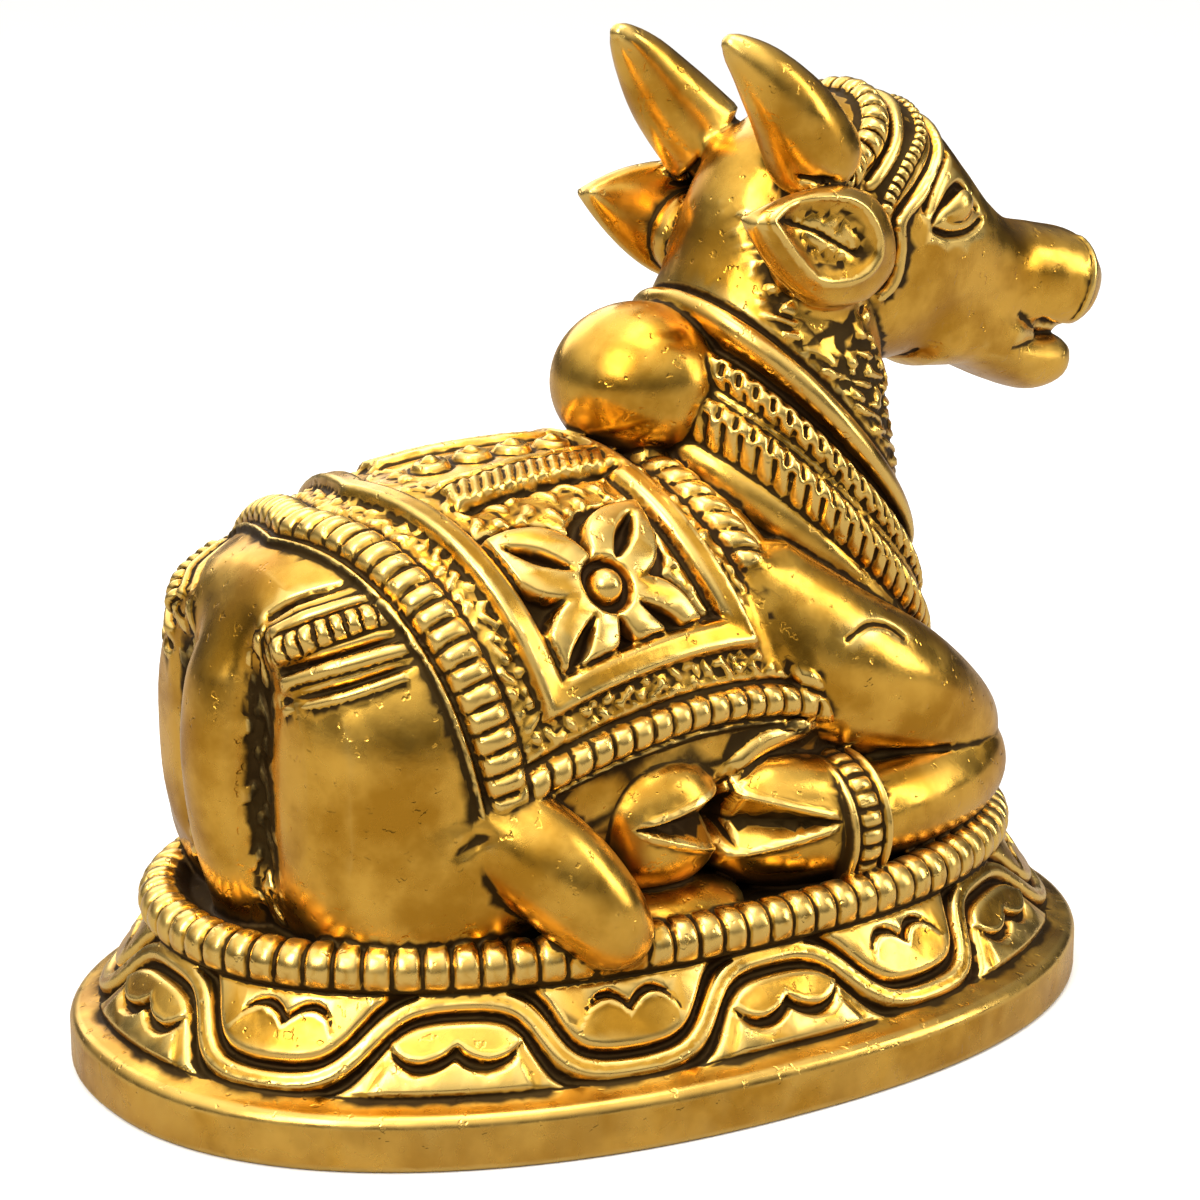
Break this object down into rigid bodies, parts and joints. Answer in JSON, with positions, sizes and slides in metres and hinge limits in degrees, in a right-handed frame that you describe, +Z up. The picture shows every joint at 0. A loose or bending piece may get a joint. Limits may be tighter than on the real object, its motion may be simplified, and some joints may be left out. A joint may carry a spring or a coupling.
{
  "type": "nandi bull figure",
  "caption": "Brass reclining nandi bull with saddle cloth, collar and horns on an oval beaded plinth, cast in one.",
  "frame": {"origin": "centre of the oval foot plate, on its underside", "axes": "+X towards the bull's muzzle, +Y to the bull's left, +Z up"},
  "size_m": [0.122, 0.0782, 0.1001],
  "materials": {
    "antique_brass": "polished antique brass with dark patina in the grooves"
  },
  "bodies": {
    "root": {"nandi_bull": "antique_brass"}
  },
  "joints": []
}
